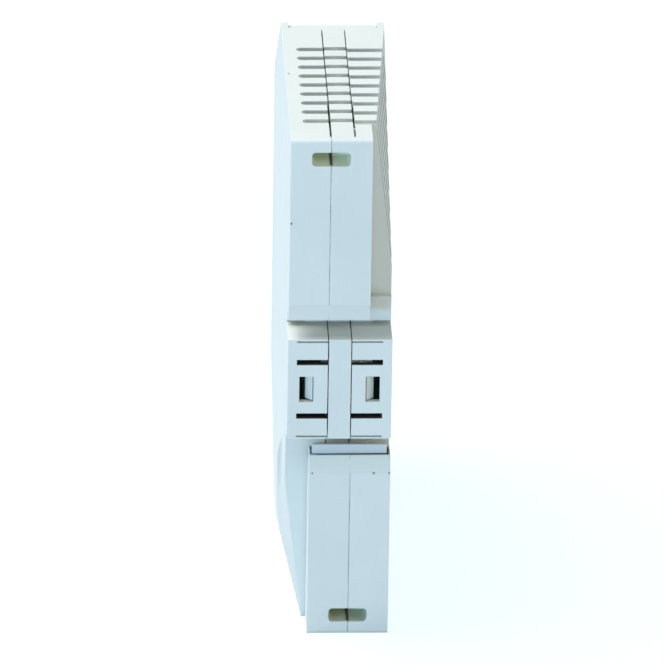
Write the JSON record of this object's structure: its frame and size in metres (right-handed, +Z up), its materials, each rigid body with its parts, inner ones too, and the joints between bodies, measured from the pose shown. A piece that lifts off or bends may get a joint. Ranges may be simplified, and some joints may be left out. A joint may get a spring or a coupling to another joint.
{
  "type": "rail-mounted optical network terminal",
  "caption": "Slim light-grey module for a 35 mm mounting rail, with louvred roof, split rear feet, sprung rail latch, and optical, network and power ports on sloped fronts.",
  "frame": {"origin": "centre of the base", "axes": "+Z up along the rail module, -Y towards the mounting rail, +Y towards the ports, +X along the rail"},
  "size_m": [0.0226, 0.1, 0.1168],
  "materials": {
    "housing_plastic": "fine moulded texture, light grey",
    "frame_plastic": "fine moulded texture, light grey",
    "hook_plastic": "smooth moulded, light grey, a little darker",
    "latch_plastic": "smooth moulded, light blue-grey",
    "bezel_plastic": "fine moulded texture, light grey",
    "flap_clear": "clear smoked polycarbonate",
    "spring_steel": "drawn spring wire",
    "pin_steel": "ground pin",
    "screw_steel": "zinc plated",
    "board_green": "solder mask over glass laminate",
    "connector_black": "moulded",
    "chip_black": "moulded epoxy",
    "transformer_tape": "tape wound",
    "capacitor_can": "sleeved can",
    "spreader_aluminium": "extruded",
    "contact_tin": "tin plated",
    "contact_gold": "gold plated",
    "plug_green": "moulded",
    "jack_shield": "stamped shield",
    "transceiver_body": "die-cast and plated",
    "port_metal": "turned and plated",
    "sleeve_ceramic": "ground zirconia",
    "cap_rubber": "soft moulded",
    "light_clear": "clear moulded",
    "lamp_white": "moulded package",
    "switch_case": "moulded",
    "dial_plastic": "moulded",
    "dip_red": "moulded",
    "slider_white": "moulded",
    "button_plastic": "moulded"
  },
  "bodies": {
    "housing": {"left_shell": "housing_plastic", "right_shell": "housing_plastic", "centre_frame": "frame_plastic", "upper_rail_hook": "hook_plastic", "lower_latch_guide": "hook_plastic", "latch_spring": "spring_steel", "front_bezel": "bezel_plastic", "flap_hinge_pin": "pin_steel", "main_board": "board_green", "power_board": "board_green", "front_board": "board_green", "board_screws": "screw_steel", "board_link_header": "connector_black", "board_link_socket": "connector_black", "control_chip": "chip_black", "memory_chips": "chip_black", "power_transformer": "transformer_tape", "storage_capacitors": "capacitor_can", "heat_spreader": "spreader_aluminium", "power_socket": "connector_black", "power_socket_pins": "contact_tin", "lan_jack": "jack_shield", "lan_jack_contacts": "contact_gold", "optical_transceiver": "transceiver_body", "fibre_port_rear": "port_metal", "fibre_port_front": "port_metal", "alignment_sleeves": "sleeve_ceramic", "service_jack": "connector_black", "light_guides": "light_clear", "indicator_lamps": "lamp_white", "rotary_switch_case": "switch_case", "dip_switch_case": "dip_red", "reset_switch_base": "switch_case"},
    "rail_latch": {"rail_latch": "latch_plastic"},
    "front_flap": {"front_flap": "flap_clear"},
    "reset_button": {"reset_button": "button_plastic"},
    "rotary_dial": {"rotary_dial": "dial_plastic"},
    "dip_slider_1": {"dip_slider_1": "slider_white"},
    "dip_slider_2": {"dip_slider_2": "slider_white"},
    "dip_slider_3": {"dip_slider_3": "slider_white"},
    "dip_slider_4": {"dip_slider_4": "slider_white"},
    "power_plug": {"power_plug": "plug_green", "power_plug_screws": "screw_steel"},
    "dust_cap_rear": {"dust_cap_rear": "cap_rubber"},
    "dust_cap_front": {"dust_cap_front": "cap_rubber"}
  },
  "joints": [
    {"name": "rail_latch_slide", "type": "slide", "parent": "housing", "child": "rail_latch", "axis": [0, 0, -1], "range_m": [0, 0.0026], "stiffness_N_per_m": 1500, "springref_m": -0.0008, "deforming": ["latch_spring"]},
    {"name": "flap_hinge", "type": "hinge", "parent": "housing", "child": "front_flap", "pos_m": [0, 0.0484, 0.028], "axis": [-1, 0, 0], "range_deg": [0, 100]},
    {"name": "reset_button_slide", "type": "slide", "parent": "housing", "child": "reset_button", "axis": [0, -1, 0], "range_m": [0, 0.0006], "stiffness_N_per_m": 2500, "springref_m": -0.0002},
    {"name": "rotary_dial_turn", "type": "hinge", "parent": "housing", "child": "rotary_dial", "pos_m": [0, 0.042, 0.066], "axis": [0, 1, 0], "continuous": true},
    {"name": "dip_slider_1_slide", "type": "slide", "parent": "housing", "child": "dip_slider_1", "axis": [0, 0, 1], "range_m": [0, 0.0016]},
    {"name": "dip_slider_2_slide", "type": "slide", "parent": "housing", "child": "dip_slider_2", "axis": [0, 0, 1], "range_m": [0, 0.0016]},
    {"name": "dip_slider_3_slide", "type": "slide", "parent": "housing", "child": "dip_slider_3", "axis": [0, 0, 1], "range_m": [0, 0.0016]},
    {"name": "dip_slider_4_slide", "type": "slide", "parent": "housing", "child": "dip_slider_4", "axis": [0, 0, 1], "range_m": [0, 0.0016]},
    {"name": "power_plug_pull", "type": "slide", "parent": "housing", "child": "power_plug", "axis": [0, 0.5928, 0.8053], "range_m": [0, 0.014]},
    {"name": "dust_cap_rear_pull", "type": "slide", "parent": "housing", "child": "dust_cap_rear", "axis": [0, 0.5928, -0.8053], "range_m": [0, 0.01]},
    {"name": "dust_cap_front_pull", "type": "slide", "parent": "housing", "child": "dust_cap_front", "axis": [0, 0.5928, -0.8053], "range_m": [0, 0.01]}
  ]
}
